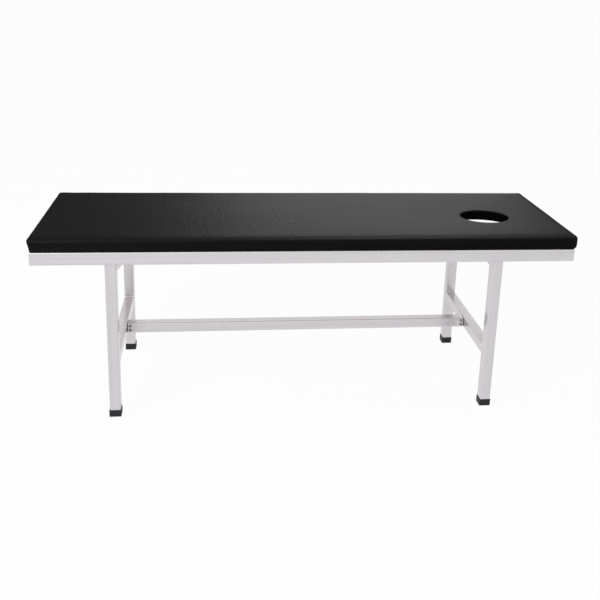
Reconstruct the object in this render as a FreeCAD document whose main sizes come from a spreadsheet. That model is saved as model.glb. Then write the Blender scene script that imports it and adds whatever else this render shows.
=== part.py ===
import FreeCAD, Part
import math
import os
import re

import Sketcher
from FreeCAD import Placement, Rotation, Vector

# Examination table with a face hole: an upholstered top on a welded rail frame, carried by two
# bolted leg frames that one long stretcher ties together.
# Millimetres, +Z up. The origin is on the floor under the middle of the top.
# +X points to the head end, with the face hole, and -Y to the front side.

# Driving dimensions
SIZES = {
    # Whole table
    "bed_length": 1900,
    "bed_width": 600,
    "bed_height": 670,
    # Upholstered top
    "pad_thickness": 55,
    "cover_thickness": 1,
    "board_thickness": 16,
    "board_corner": 7,
    "top_corner": 9,
    "edge_roll": 6,
    "pad_crown": 4,
    "crown_inset": 55,
    "side_draw_in": 8,
    "belly_drop": 4,
    "hem_width": 45,
    # Face hole
    "hole_length": 184,
    "hole_width": 160,
    "hole_from_head": 271,
    "hole_side_shift": 54,
    "rim_roll": 3,
    "rim_seam_depth": 14,
    "soft_rim": 45,
    "liner_hem": 25,
    # Top frame
    "pad_overhang": 8,
    "rail_height": 45,
    "rail_width": 30,
    "rail_wall": 1.5,
    "tube_corner": 3,
    "tube_inner_corner": 1.5,
    "cross_rail_size": 25,
    "cross_rail_wall": 1.2,
    "cross_rail_from_hem": 18,
    "cross_rail_from_legs": 186,
    # Leg frames and stretcher
    "leg_size": 38,
    "leg_wall": 1.5,
    "leg_inset": 5,
    "leg_plate": 3,
    "foot_leg_offset": 249,
    "head_leg_offset": 266,
    "tie_height": 217,
    "stretcher_gap": 2.5,
    "socket_clearance": 0.3,
    "socket_wall": 2,
    "socket_length": 60,
    # Floor caps
    "cap_height": 25,
    "cap_wall": 1.8,
    "cap_floor": 4,
    "cap_clearance": 0.15,
    "cap_corner": 4,
    "cap_bevel": 1,
    # Screws, bolts, nuts and washers
    "screw_diameter": 6,
    "hole_clearance": 0.6,
    "thread_clearance": 0.1,
    "nut_across": 10,
    "nut_height": 5,
    "screw_head_diameter": 11,
    "screw_head_height": 3.2,
    "screw_head_dome": 1.2,
    "screw_length": 11,
    "screw_from_end": 9,
    "screw_spacing": 17,
    "bolt_head_height": 4,
    "bolt_length": 12,
    "washer_diameter": 12,
    "washer_thickness": 1.2,
    "wood_screw_diameter": 4,
    "wood_screw_head": 8,
    "wood_screw_head_height": 2.6,
    "wood_screw_bite": 9,
    "wood_screw_pitch": 200,
    # Leg brackets
    "bracket_width": 24,
    "bracket_sheet": 2.5,
    "bracket_web": 2,
    "bolt_spare": 1.5,
    "flange_end": 2.5,
}

# Sizes worked out from the driving dimensions
DERIVED = {
    "pad_bottom": "bed_height - pad_thickness",
    "board_bottom": "pad_bottom + cover_thickness",
    "foam_bottom": "board_bottom + board_thickness",
    "board_inset": "side_draw_in + cover_thickness",
    "crown_base": "bed_height - pad_crown",
    "belly_line": "crown_base - edge_roll - belly_drop",
    "pad_corner": "top_corner + edge_roll",
    "crown_corner": "top_corner + crown_inset / 4",
    "hole_axis": "bed_length / 2 - hole_from_head",
    "liner_reach": "cover_thickness + soft_rim + liner_hem",
    "rail_top": "pad_bottom",
    "rail_bottom": "rail_top - rail_height",
    "rail_middle": "rail_top - rail_height / 2",
    "frame_length": "bed_length - 2 * pad_overhang",
    "frame_width": "bed_width - 2 * pad_overhang",
    "side_rail_axis": "frame_width / 2 - rail_width / 2",
    "end_rail_axis": "frame_length / 2 - rail_width / 2",
    "cross_rail_length": "frame_width - 2 * rail_width",
    "cross_rail_bottom": "rail_top - cross_rail_size",
    "foot_cross_rail_axis": "foot_inner_face + cross_rail_from_legs",
    "middle_cross_rail_axis": "(foot_cross_rail_axis + head_cross_rail_axis) / 2",
    "head_cross_rail_axis":
        "hole_axis - hole_length / 2 - liner_reach - cross_rail_from_hem - cross_rail_size / 2",
    "leg_length": "rail_bottom - cap_floor",
    "leg_middle": "cap_floor + leg_length / 2",
    "leg_side_axis": "frame_width / 2 - leg_inset - leg_size / 2",
    "foot_leg_axis": "foot_leg_offset + leg_size / 2 - bed_length / 2",
    "head_leg_axis": "bed_length / 2 - head_leg_offset - leg_size / 2",
    "foot_inner_face": "foot_leg_axis + leg_size / 2",
    "head_inner_face": "head_leg_axis - leg_size / 2",
    "crossbar_length": "2 * leg_side_axis - leg_size",
    "stretcher_length": "head_inner_face - foot_inner_face - 2 * stretcher_gap",
    "stretcher_axis": "(head_inner_face + foot_inner_face) / 2",
    "socket_size": "leg_size - 2 * leg_wall - 2 * socket_clearance",
    "socket_screw_reach": "stretcher_gap + screw_from_end",
    "screw_hole": "screw_diameter + hole_clearance",
    "thread_bore": "screw_diameter + thread_clearance",
    "wood_screw_hole": "wood_screw_diameter + hole_clearance",
    "wood_pilot": "wood_screw_diameter + thread_clearance",
    "wood_screw_length": "cross_rail_size + cover_thickness + wood_screw_bite",
    "bracket_axis": "frame_width / 2 - (leg_inset + rail_width) / 2",
    "hex_radius": "nut_across / 2 / cos(30)",
    "rail_bolt_reach": "bracket_sheet + washer_diameter / 2 + 2 * bolt_spare",
    "bracket_reach": "rail_bolt_reach + washer_diameter / 2 + flange_end",
    "leg_bolt_drop": "bracket_sheet + washer_thickness + bolt_head_height + hex_radius + bolt_spare",
    "bracket_drop": "leg_bolt_drop + washer_diameter / 2 + flange_end",
    "cap_inside": "leg_size + 2 * cap_clearance",
    "cap_outside": "cap_inside + 2 * cap_wall",
}

ENDS = {"foot": -1, "head": 1}
SIDES = {"front": -1, "rear": 1}
CROSS_RAILS = ("foot", "middle", "head")
TOUCH = 0.001
AXIS_OF_PLANE = {"XY_Plane": Vector(0, 0, 1), "XZ_Plane": Vector(0, 1, 0), "YZ_Plane": Vector(1, 0, 0)}
NO_TURN = Rotation()
HALF_TURN = Rotation(Vector(0, 0, 1), 180)

doc = FreeCAD.newDocument("examination_table")
sheet = doc.addObject("Spreadsheet::Sheet", "Sizes")
for row, (size_name, size_value) in enumerate(SIZES.items(), start=1):
    sheet.set(f"A{row}", size_name)
    sheet.set(f"B{row}", str(size_value))
    sheet.setAlias(f"B{row}", size_name)
doc.recompute()

pieces = []


# Formulas and bindings

def formula(text):
    """An expression for the document, from size names and derived names."""
    def expand(match):
        word = match.group(0)
        if word in DERIVED:
            return "(" + formula(DERIVED[word]) + ")"
        return "Sizes." + word if word in SIZES else word
    return re.sub(r"[a-z_]+", expand, text)


def value(text):
    return float(sheet.evalExpression(formula(text)))


def bind(thing, path, text):
    thing.setExpression(path, formula(text))


def place(thing, x, y, z, turn=NO_TURN):
    thing.Placement = Placement(Vector(value(x), value(y), value(z)), turn)
    for letter, text in zip("xyz", (x, y, z)):
        bind(thing, f"Placement.Base.{letter}", text)


def signed(sign, text):
    return text if sign > 0 else f"-({text})"


# Sketches

def new_body(label):
    body = doc.addObject("PartDesign::Body", label)
    body.Label = label
    return body


def sketch_on(body, role, height=None):
    plane = next(feature for feature in body.Origin.OriginFeatures if feature.Role == role)
    sketch = body.newObject("Sketcher::SketchObject", body.Label + "_sketch")
    sketch.AttachmentSupport = [(plane, "")]
    sketch.MapMode = "FlatFace"
    if height:
        bind(sketch, "AttachmentOffset.Base.z", height)
    return sketch


def dimension(sketch, kind, ends, text):
    index = sketch.addConstraint(Sketcher.Constraint(kind, *ends, value(text)))
    bind(sketch, f"Constraints[{index}]", text)


def add_polygon(sketch, corners):
    """A closed outline whose corners are each set out from the sketch's origin."""
    points = [Vector(value(x), value(y), 0) for x, y in corners]
    lines = []
    for start, end in zip(points, points[1:] + points[:1]):
        lines.append(sketch.addGeometry(Part.LineSegment(start, end)))
    for line, following in zip(lines, lines[1:] + lines[:1]):
        sketch.addConstraint(Sketcher.Constraint("Coincident", line, 2, following, 1))
    for line, (x, y) in zip(lines, corners):
        dimension(sketch, "DistanceX", (-1, 1, line, 1), x)
        dimension(sketch, "DistanceY", (-1, 1, line, 1), y)


def add_rectangle(sketch, across, up):
    half_across = f"({across}) / 2"
    half_up = f"({up}) / 2"
    add_polygon(sketch, [
        (f"-{half_across}", f"-{half_up}"),
        (half_across, f"-{half_up}"),
        (half_across, half_up),
        (f"-{half_across}", half_up),
    ])


def add_circle(sketch, x, y, diameter):
    centre = Vector(value(x), value(y), 0)
    circle = sketch.addGeometry(Part.Circle(centre, Vector(0, 0, 1), value(diameter) / 2))
    dimension(sketch, "Diameter", (circle,), diameter)
    dimension(sketch, "DistanceX", (-1, 1, circle, 3), x)
    dimension(sketch, "DistanceY", (-1, 1, circle, 3), y)


def add_rounded_rectangle(sketch, across, up, radius):
    """Four sides and four tangent corner arcs, centred on the sketch's origin."""
    r = value(radius)
    x = value(across) / 2 - r
    y = value(up) / 2 - r
    quarter = math.pi / 2
    arcs = []
    for corner, (cx, cy) in enumerate([(x, y), (-x, y), (-x, -y), (x, -y)]):
        circle = Part.Circle(Vector(cx, cy, 0), Vector(0, 0, 1), r)
        arc = Part.ArcOfCircle(circle, corner * quarter, (corner + 1) * quarter)
        arcs.append(sketch.addGeometry(arc))
    top = sketch.addGeometry(Part.LineSegment(Vector(x, y + r, 0), Vector(-x, y + r, 0)))
    left = sketch.addGeometry(Part.LineSegment(Vector(-x - r, y, 0), Vector(-x - r, -y, 0)))
    bottom = sketch.addGeometry(Part.LineSegment(Vector(-x, -y - r, 0), Vector(x, -y - r, 0)))
    right = sketch.addGeometry(Part.LineSegment(Vector(x + r, -y, 0), Vector(x + r, y, 0)))
    for arc, before, after in zip(arcs, (right, top, left, bottom), (top, left, bottom, right)):
        sketch.addConstraint(Sketcher.Constraint("Tangent", before, 2, arc, 1))
        sketch.addConstraint(Sketcher.Constraint("Tangent", arc, 2, after, 1))
    sketch.addConstraint(Sketcher.Constraint("Horizontal", top))
    sketch.addConstraint(Sketcher.Constraint("Horizontal", bottom))
    sketch.addConstraint(Sketcher.Constraint("Vertical", left))
    sketch.addConstraint(Sketcher.Constraint("Vertical", right))
    for arc in arcs[1:]:
        sketch.addConstraint(Sketcher.Constraint("Equal", arcs[0], arc))
    sketch.addConstraint(Sketcher.Constraint("Symmetric", arcs[0], 3, arcs[2], 3, -1, 1))
    dimension(sketch, "Radius", (arcs[0],), radius)
    dimension(sketch, "DistanceX", (left, 1, right, 1), across)
    dimension(sketch, "DistanceY", (bottom, 1, top, 1), up)


# Features

def add_pad(body, sketch, length, symmetric=True):
    pad = body.newObject("PartDesign::Pad", body.Label + "_pad")
    pad.Profile = sketch
    pad.SideType = "Symmetric" if symmetric else "One side"
    bind(pad, "Length", length)
    doc.recompute()
    return pad


def add_pocket(body, sketch, length, symmetric=False, flip=False):
    before = body.Shape.Volume
    pocket = body.newObject("PartDesign::Pocket", body.Label + "_pocket")
    pocket.Profile = sketch
    pocket.SideType = "Symmetric" if symmetric else "One side"
    pocket.Reversed = flip
    bind(pocket, "Length", length)
    doc.recompute()
    if body.Shape.Volume >= before:
        raise RuntimeError(f"a pocket of {body.Label} cuts nothing")
    return pocket


def dress_edges(body, kind, path, size, wanted):
    """Fillet or chamfer the edges of the body's tip that the test picks out."""
    tip = body.Tip
    names = []
    for number, edge in enumerate(tip.Shape.Edges, start=1):
        if wanted(edge):
            names.append(f"Edge{number}")
    feature = body.newObject(f"PartDesign::{kind}", f"{body.Label}_{kind.lower()}")
    feature.Base = (tip, names)
    bind(feature, path, size)
    doc.recompute()


def round_edges(body, radius, wanted):
    dress_edges(body, "Fillet", "Radius", radius, wanted)


def bevel_edges(body, size, wanted):
    dress_edges(body, "Chamfer", "Size", size, wanted)


def loft(body, sketches, ruled):
    feature = body.newObject("PartDesign::AdditiveLoft", body.Label + "_loft")
    feature.Profile = sketches[0]
    feature.Sections = sketches[1:]
    feature.Ruled = ruled
    doc.recompute()
    return feature


def long_edges(axis, across, up):
    """A test for the edges along an axis at the corners of a centred rectangle."""
    reach = math.hypot(value(across), value(up)) / 2

    def wanted(edge):
        along = edge.tangentAt(edge.FirstParameter).cross(axis).Length < TOUCH
        return along and abs(edge.CenterOfMass.cross(axis).Length - reach) < TOUCH

    return wanted


def tube(label, role, across, up, wall, length):
    """A square or flat tube along the plane's normal, centred on its own origin."""
    inner_across = f"{across} - 2 * {wall}"
    inner_up = f"{up} - 2 * {wall}"
    body = new_body(label)
    section = sketch_on(body, role)
    add_rectangle(section, across, up)
    add_rectangle(section, inner_across, inner_up)
    add_pad(body, section, length)
    axis = AXIS_OF_PLANE[role]
    round_edges(body, "tube_corner", long_edges(axis, across, up))
    round_edges(body, "tube_inner_corner", long_edges(axis, inner_across, inner_up))
    return body


def finish(piece):
    pieces.append(piece)
    return piece


# Upholstered top

def section_at(body, height, inset, radius):
    sketch = sketch_on(body, "XY_Plane", height)
    add_rounded_rectangle(sketch, f"bed_length - 2 * ({inset})", f"bed_width - 2 * ({inset})", radius)
    return sketch


def oval_prism(grow, low, high):
    """A prism of the face hole's oval, grown all round by some distance."""
    along = value(f"hole_length / 2 + {grow}")
    across = value(f"hole_width / 2 + {grow}")
    oval = Part.Ellipse(Vector(), max(along, across), min(along, across)).toShape()
    if across > along:
        oval.rotate(Vector(), Vector(0, 0, 1), 90)
    oval.translate(Vector(value("hole_axis"), -value("hole_side_shift"), value(low)))
    return Part.Face(Part.Wire(oval)).extrude(Vector(0, 0, value(high) - value(low)))


def tool(label, shape):
    feature = doc.addObject("Part::Feature", label)
    feature.Shape = shape
    return feature


def cut(label, base, cutter):
    feature = doc.addObject("Part::Cut", label)
    feature.Base = base
    feature.Tool = cutter
    feature.Label = label
    return feature


def rolled_rim(label, form, skin):
    """The face hole cut through a form, with its upper edge rounded over."""
    oval = oval_prism(skin, "rail_bottom", "bed_height + pad_thickness")
    holed = cut(f"{label}_holed", form, tool(f"{label}_hole", oval))
    doc.recompute()
    lowest = value(f"crown_base - {skin}")
    radius = value(f"rim_roll - {skin}")
    reach = oval.BoundBox
    reach.enlarge(TOUCH)
    rim = []
    for number, edge in enumerate(holed.Shape.Edges, start=1):
        if edge.BoundBox.ZMin > lowest and reach.isInside(edge.BoundBox):
            rim.append((number, radius, radius))
    rounded = doc.addObject("Part::Fillet", f"{label}_rim")
    rounded.Base = holed
    rounded.Edges = rim
    doc.recompute()
    return rounded


def pad_form(label, skin):
    """The top's outer form, less a skin all round: straight round the board, bellied above it,
    with a rolled upper edge, a low crown and the face hole."""
    body = new_body(label)
    base_inset = f"side_draw_in + {skin}"
    base_corner = f"board_corner + cover_thickness - {skin}"
    belly_corner = f"pad_corner - {skin}"
    belly = [
        (f"pad_bottom + {skin}", base_inset, base_corner),
        ("foam_bottom", base_inset, base_corner),
        ("belly_line", skin, belly_corner),
        (f"crown_base - {skin}", skin, belly_corner),
    ]
    loft(body, [section_at(body, *level) for level in belly], True)
    top = value(f"crown_base - {skin}")
    round_edges(body, f"edge_roll - {skin}", lambda edge: edge.BoundBox.ZMin > top - TOUCH)
    # The crown is a parabola: three quarters of its rise in the first half of its run
    crown = [
        (f"crown_base - {skin}", "edge_roll", "top_corner"),
        (f"crown_base - {skin} + pad_crown * 3 / 4", "(edge_roll + crown_inset) / 2",
         "(top_corner + crown_corner) / 2"),
        (f"bed_height - {skin}", "crown_inset", "crown_corner"),
    ]
    loft(body, [section_at(body, *level) for level in crown], False)
    return rolled_rim(label, body, skin)


def slab(label, inset, low, high):
    """A plain block over the top's plan, drawn in by some distance."""
    block = doc.addObject("Part::Box", label)
    bind(block, "Length", f"bed_length - 2 * ({inset})")
    bind(block, "Width", f"bed_width - 2 * ({inset})")
    bind(block, "Height", f"{high} - ({low})")
    place(block, f"{inset} - bed_length / 2", f"{inset} - bed_width / 2", low)
    return block


def wood_screw_places():
    for name in CROSS_RAILS:
        for line in (-1, 0, 1):
            yield f"{name}_cross_rail_axis", f"{line} * wood_screw_pitch"


def make_base_board():
    panel = new_body("board_panel")
    outline = sketch_on(panel, "XY_Plane", "board_bottom")
    add_rounded_rectangle(
        outline, "bed_length - 2 * board_inset", "bed_width - 2 * board_inset", "board_corner")
    add_pad(panel, outline, "board_thickness", symmetric=False)
    pilots = sketch_on(panel, "XY_Plane", "board_bottom")
    for x, y in wood_screw_places():
        add_circle(pilots, x, y, "wood_pilot")
    add_pocket(panel, pilots, "wood_screw_bite", flip=True)
    opening = tool("board_opening", oval_prism("cover_thickness + soft_rim", "rail_top", "bed_height"))
    finish(cut("base_board", panel, opening))


def make_upholstery():
    outer_form = pad_form("pad_outer_form", "0")
    inner_form = pad_form("pad_inner_form", "cover_thickness")

    below_foam = slab("below_foam", "-pad_overhang", "rail_bottom", "foam_bottom")
    finish(cut("foam_core", inner_form, below_foam))

    # The cover turns over the hole's rim as far as the seam, and under the board as a hem
    rim_seam = "bed_height - rim_seam_depth"
    skin = cut("cover_skin", outer_form, inner_form)
    below_seam = tool("below_seam", oval_prism("cover_thickness", "rail_bottom", rim_seam))
    turned_skin = cut("turned_skin", skin, below_seam)
    under_opening = slab("under_opening", "side_draw_in + hem_width", "rail_bottom", "foam_bottom")
    finish(cut("upholstery_cover", turned_skin, under_opening))

    # The lining hangs from the seam down the foam, spreads under it to the board's wider opening,
    # and turns round the board's edge to a hem below
    skin_below = "foam_bottom - cover_thickness"
    sleeve = oval_prism("cover_thickness", skin_below, rim_seam).cut(oval_prism("0", skin_below, rim_seam))
    ledge = oval_prism("cover_thickness + soft_rim", skin_below, "foam_bottom")
    ledge = ledge.cut(oval_prism("0", skin_below, "foam_bottom"))
    edge = oval_prism("cover_thickness + soft_rim", "pad_bottom", "foam_bottom")
    edge = edge.cut(oval_prism("soft_rim", "pad_bottom", "foam_bottom"))
    hem = oval_prism("liner_reach", "pad_bottom", "board_bottom")
    hem = hem.cut(oval_prism("soft_rim", "pad_bottom", "board_bottom"))
    lining = sleeve.fuse([ledge, edge, hem]).removeSplitter()
    finish(tool("face_hole_liner", lining.Solids[0]))


# Top frame

def mitred_rail(label, length, bolt_places):
    """A flat tube along X whose ends are cut at 45 degrees, with its long face on the -Y side."""
    rail = tube(label, "YZ_Plane", "rail_width", "rail_height", "rail_wall", length)
    for end in (-1, 1):
        mitre = sketch_on(rail, "XY_Plane")
        add_polygon(mitre, [
            (signed(end, f"{length} / 2"), "-rail_width / 2"),
            (signed(end, f"{length} / 2"), "rail_width / 2"),
            (signed(end, f"{length} / 2 - rail_width"), "rail_width / 2"),
        ])
        add_pocket(rail, mitre, "2 * rail_height", symmetric=True)
    if bolt_places:
        bolts = sketch_on(rail, "XY_Plane")
        for x, y in bolt_places:
            add_circle(bolts, x, y, "screw_hole")
        add_pocket(rail, bolts, "rail_height")
    return finish(rail)


def bracket_face(end):
    """Where a leg's inner face is along X."""
    return "foot_inner_face" if end < 0 else "head_inner_face"


def rail_bolt_place(end):
    return f"{bracket_face(end)} - ({end}) * rail_bolt_reach"


def make_top_frame():
    off_middle = "side_rail_axis - bracket_axis"
    for side_name, side in SIDES.items():
        bolts = []
        for end in ENDS.values():
            bolts.append((signed(-side, rail_bolt_place(end)), off_middle))
        rail = mitred_rail(f"{side_name}_side_rail", "frame_length", bolts)
        place(rail, "0", signed(side, "side_rail_axis"), "rail_middle", NO_TURN if side < 0 else HALF_TURN)
    for end_name, end in ENDS.items():
        rail = mitred_rail(f"{end_name}_end_rail", "frame_width", [])
        place(rail, signed(end, "end_rail_axis"), "0", "rail_middle", Rotation(Vector(0, 0, 1), 90 * end))
    for name in CROSS_RAILS:
        rail = tube(f"{name}_cross_rail", "XZ_Plane", "cross_rail_size", "cross_rail_size",
                    "cross_rail_wall", "cross_rail_length")
        holes = sketch_on(rail, "XY_Plane")
        for line in (-1, 0, 1):
            add_circle(holes, "0", f"{line} * wood_screw_pitch", "wood_screw_hole")
        add_pocket(rail, holes, "2 * cross_rail_size", symmetric=True)
        place(rail, f"{name}_cross_rail_axis", "0", "cross_rail_bottom + cross_rail_size / 2")
        finish(rail)


# Leg frames

def make_floor_cap(label, x, y):
    """A black cup that the leg's end stands in."""
    cap = new_body(label)
    outside = sketch_on(cap, "XY_Plane")
    add_rounded_rectangle(outside, "cap_outside", "cap_outside", "cap_corner")
    add_pad(cap, outside, "cap_height", symmetric=False)
    inside = sketch_on(cap, "XY_Plane", "cap_floor")
    add_rounded_rectangle(inside, "cap_inside", "cap_inside", "tube_corner")
    add_pocket(cap, inside, "cap_height", flip=True)
    bevel_edges(cap, "cap_bevel", lambda edge: edge.BoundBox.ZMax < TOUCH)
    place(cap, x, y, "0")
    finish(cap)


def make_leg_bracket(label, end, y):
    """A pressed corner bracket: one flange under the rail, one on the leg, and a web on each side."""
    bracket = new_body(label)
    profile = sketch_on(bracket, "XZ_Plane")
    add_polygon(profile, [
        ("0", "0"),
        ("bracket_reach", "0"),
        ("bracket_reach", "-bracket_sheet"),
        ("bracket_sheet", "-bracket_drop"),
        ("0", "-bracket_drop"),
    ])
    add_pad(bracket, profile, "bracket_width")
    hollow = sketch_on(bracket, "XZ_Plane")
    add_polygon(hollow, [
        ("bracket_sheet", "-bracket_sheet"),
        ("bracket_reach", "-bracket_sheet"),
        ("bracket_sheet", "-bracket_drop"),
    ])
    add_pocket(bracket, hollow, "bracket_width - 2 * bracket_web", symmetric=True)
    rail_hole = sketch_on(bracket, "XY_Plane")
    add_circle(rail_hole, "rail_bolt_reach", "0", "screw_hole")
    add_pocket(bracket, rail_hole, "2 * bracket_sheet")
    leg_hole = sketch_on(bracket, "YZ_Plane")
    add_circle(leg_hole, "0", "-leg_bolt_drop", "screw_hole")
    add_pocket(bracket, leg_hole, "2 * bracket_sheet", flip=True)
    place(bracket, bracket_face(end), y, "rail_bottom", NO_TURN if end < 0 else HALF_TURN)
    finish(bracket)


def make_leg_frames():
    for end_name, end in ENDS.items():
        leg_axis = f"{end_name}_leg_axis"
        for side_name, side in SIDES.items():
            corner = f"{end_name}_{side_name}"
            leg = tube(f"{corner}_leg", "XY_Plane", "leg_size", "leg_size", "leg_wall", "leg_length")
            plate = sketch_on(leg, "XY_Plane", "leg_length / 2 - leg_plate")
            add_rectangle(plate, "leg_size - leg_wall", "leg_size - leg_wall")
            add_pad(leg, plate, "leg_plate", symmetric=False)
            bolt_hole = sketch_on(leg, "YZ_Plane")
            off_middle = signed(side, "bracket_axis - leg_side_axis")
            add_circle(bolt_hole, off_middle, "leg_length / 2 - leg_bolt_drop", "screw_hole")
            add_pocket(leg, bolt_hole, "leg_size", flip=end < 0)
            leg_y = signed(side, "leg_side_axis")
            place(leg, leg_axis, leg_y, "leg_middle")
            finish(leg)
            make_floor_cap(f"{corner}_floor_cap", leg_axis, leg_y)
            make_leg_bracket(f"{corner}_leg_bracket", end, signed(side, "bracket_axis"))
        crossbar = tube(
            f"{end_name}_crossbar", "XZ_Plane", "leg_size", "leg_size", "leg_wall", "crossbar_length")
        place(crossbar, leg_axis, "0", "tie_height")
        finish(crossbar)


# Stretcher, with a socket inside each end

def screw_row(sketch, x):
    for level in (-1, 1):
        add_circle(sketch, x, f"{level} * screw_spacing / 2", "screw_hole")


def make_stretcher():
    stretcher = tube("stretcher", "YZ_Plane", "leg_size", "leg_size", "leg_wall", "stretcher_length")
    holes = sketch_on(stretcher, "XZ_Plane")
    for end in ENDS.values():
        screw_row(holes, signed(end, "stretcher_length / 2 - screw_from_end"))
    add_pocket(stretcher, holes, "leg_size", flip=True)
    place(stretcher, "stretcher_axis", "0", "tie_height")
    finish(stretcher)
    for end_name, end in ENDS.items():
        socket = tube(f"{end_name}_stretcher_socket", "YZ_Plane", "socket_size", "socket_size",
                      "socket_wall", "socket_length")
        holes = sketch_on(socket, "XZ_Plane")
        screw_row(holes, signed(end, "socket_length / 2 - socket_screw_reach"))
        add_pocket(socket, holes, "leg_size", flip=True)
        place(socket, f"{bracket_face(end)} - ({end}) * socket_length / 2", "0", "tie_height")
        finish(socket)


# Fasteners: one pattern of each, copied to its places

def turned_pattern(label, profile):
    """A turned piece about Z, from a half profile of (radius, height) corners."""
    body = new_body(label)
    sketch = sketch_on(body, "XZ_Plane")
    add_polygon(sketch, profile)
    turn = body.newObject("PartDesign::Revolution", label + "_turn")
    turn.Profile = sketch
    turn.ReferenceAxis = (sketch, ["V_Axis"])
    turn.Angle = 360
    doc.recompute()
    return body.Shape


def hex_prism(label, height, bore):
    """A hexagon standing on its origin, bored through where a bore is given."""
    prism = doc.addObject("Part::Prism", label)
    prism.Polygon = 6
    bind(prism, "Circumradius", "hex_radius")
    bind(prism, "Height", height)
    doc.recompute()
    if not bore:
        return prism
    drill = doc.addObject("Part::Cylinder", label + "_bore")
    bind(drill, "Radius", f"{bore} / 2")
    bind(drill, "Height", height)
    bored = cut(label + "_bored", prism, drill)
    doc.recompute()
    return bored


def bolt_pattern():
    """A hexagon-headed bolt: the head below the origin, the shank above it."""
    head = hex_prism("bolt_head", "bolt_head_height", None)
    place(head, "0", "0", "-bolt_head_height")
    shank = doc.addObject("Part::Cylinder", "bolt_shank")
    bind(shank, "Radius", "screw_diameter / 2")
    bind(shank, "Height", "bolt_length")
    bolt = doc.addObject("Part::Fuse", "bolt_pattern")
    bolt.Base = head
    bolt.Tool = shank
    doc.recompute()
    return bolt.Shape


def pan_screw_profile(diameter, length, head, head_height, dome):
    radius = f"{diameter} / 2"
    head_radius = f"{head} / 2"
    return [
        ("0", length),
        (radius, length),
        (radius, "0"),
        (head_radius, "0"),
        (head_radius, f"{dome} - {head_height}"),
        (f"{head_radius} - {dome}", f"-{head_height}"),
        ("0", f"-{head_height}"),
    ]


def copies(label, pattern, placements):
    """One piece of several separate solids, each a copy of the pattern."""
    solids = []
    for placement in placements:
        solid = pattern.Solids[0].copy()
        solid.Placement = placement.multiply(solid.Placement)
        solids.append(solid)
    group = doc.addObject("Part::Feature", label)
    group.Shape = Part.makeCompound(solids)
    finish(group)


def spot(x, y, z, turn=NO_TURN):
    return Placement(Vector(value(x), value(y), value(z)), turn)


def make_bracket_fasteners():
    bolts = []
    nuts = []
    for end in ENDS.values():
        into_leg = Rotation(Vector(0, 1, 0), 90 * end)
        for side in SIDES.values():
            y = signed(side, "bracket_axis")
            rail_x = rail_bolt_place(end)
            bolts.append(spot(rail_x, y, "rail_bottom - bracket_sheet - washer_thickness"))
            nuts.append(spot(rail_x, y, "rail_bottom + rail_wall"))
            leg_z = "rail_bottom - leg_bolt_drop"
            under_head = f"{bracket_face(end)} - ({end}) * (bracket_sheet + washer_thickness)"
            bolts.append(spot(under_head, y, leg_z, into_leg))
            nuts.append(spot(f"{bracket_face(end)} + ({end}) * leg_wall", y, leg_z, into_leg))
    washer = turned_pattern("washer_pattern", [
        ("screw_hole / 2", "0"),
        ("washer_diameter / 2", "0"),
        ("washer_diameter / 2", "washer_thickness"),
        ("screw_hole / 2", "washer_thickness"),
    ])
    nut = hex_prism("nut_pattern", "nut_height", "thread_bore").Shape
    copies("bracket_bolts", bolt_pattern(), bolts)
    copies("bracket_washers", washer, bolts)
    copies("bracket_nuts", nut, nuts)
    return nut


def make_stretcher_fasteners(nut):
    towards_rear = Rotation(Vector(1, 0, 0), -90)
    screws = []
    nuts = []
    for end in ENDS.values():
        x = f"stretcher_axis + ({end}) * (stretcher_length / 2 - screw_from_end)"
        for level in (-1, 1):
            z = f"tie_height + ({level}) * screw_spacing / 2"
            screws.append(spot(x, "-leg_size / 2", z, towards_rear))
            nuts.append(spot(x, "-(socket_size / 2 - socket_wall)", z, towards_rear))
    screw = turned_pattern("screw_pattern", pan_screw_profile(
        "screw_diameter", "screw_length", "screw_head_diameter", "screw_head_height", "screw_head_dome"))
    copies("stretcher_screws", screw, screws)
    copies("stretcher_nuts", nut, nuts)


def make_board_screws():
    screws = [spot(x, y, "cross_rail_bottom") for x, y in wood_screw_places()]
    screw = turned_pattern("wood_screw_pattern", pan_screw_profile(
        "wood_screw_diameter", "wood_screw_length", "wood_screw_head", "wood_screw_head_height",
        "wood_screw_head_height / 2"))
    copies("board_screws", screw, screws)


# The whole table

make_base_board()
make_upholstery()
make_top_frame()
make_leg_frames()
make_stretcher()
bracket_nut = make_bracket_fasteners()
make_stretcher_fasteners(bracket_nut)
make_board_screws()
doc.recompute()

for thing in doc.Objects:
    if "Invalid" in thing.State or "Error" in thing.State:
        raise RuntimeError(f"{thing.Label} failed: {thing.State}")
for piece in pieces:
    if piece.Shape.isNull() or not piece.Shape.isValid() or not piece.Shape.Solids:
        raise RuntimeError(f"{piece.Label} has no valid shape")

os.makedirs("parts", exist_ok=True)
for piece in pieces:
    piece.Shape.exportStep(f"parts/{piece.Label}.step")
    box = piece.Shape.BoundBox
    print(f"{piece.Label}: {len(piece.Shape.Solids)} solids, {piece.Shape.Volume / 1000:.1f} cm3,"
          f" {box.XLength:.1f} x {box.YLength:.1f} x {box.ZLength:.1f}")
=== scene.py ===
import math
import bmesh
import bpy
from mathutils import Matrix, Vector, noise


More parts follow.
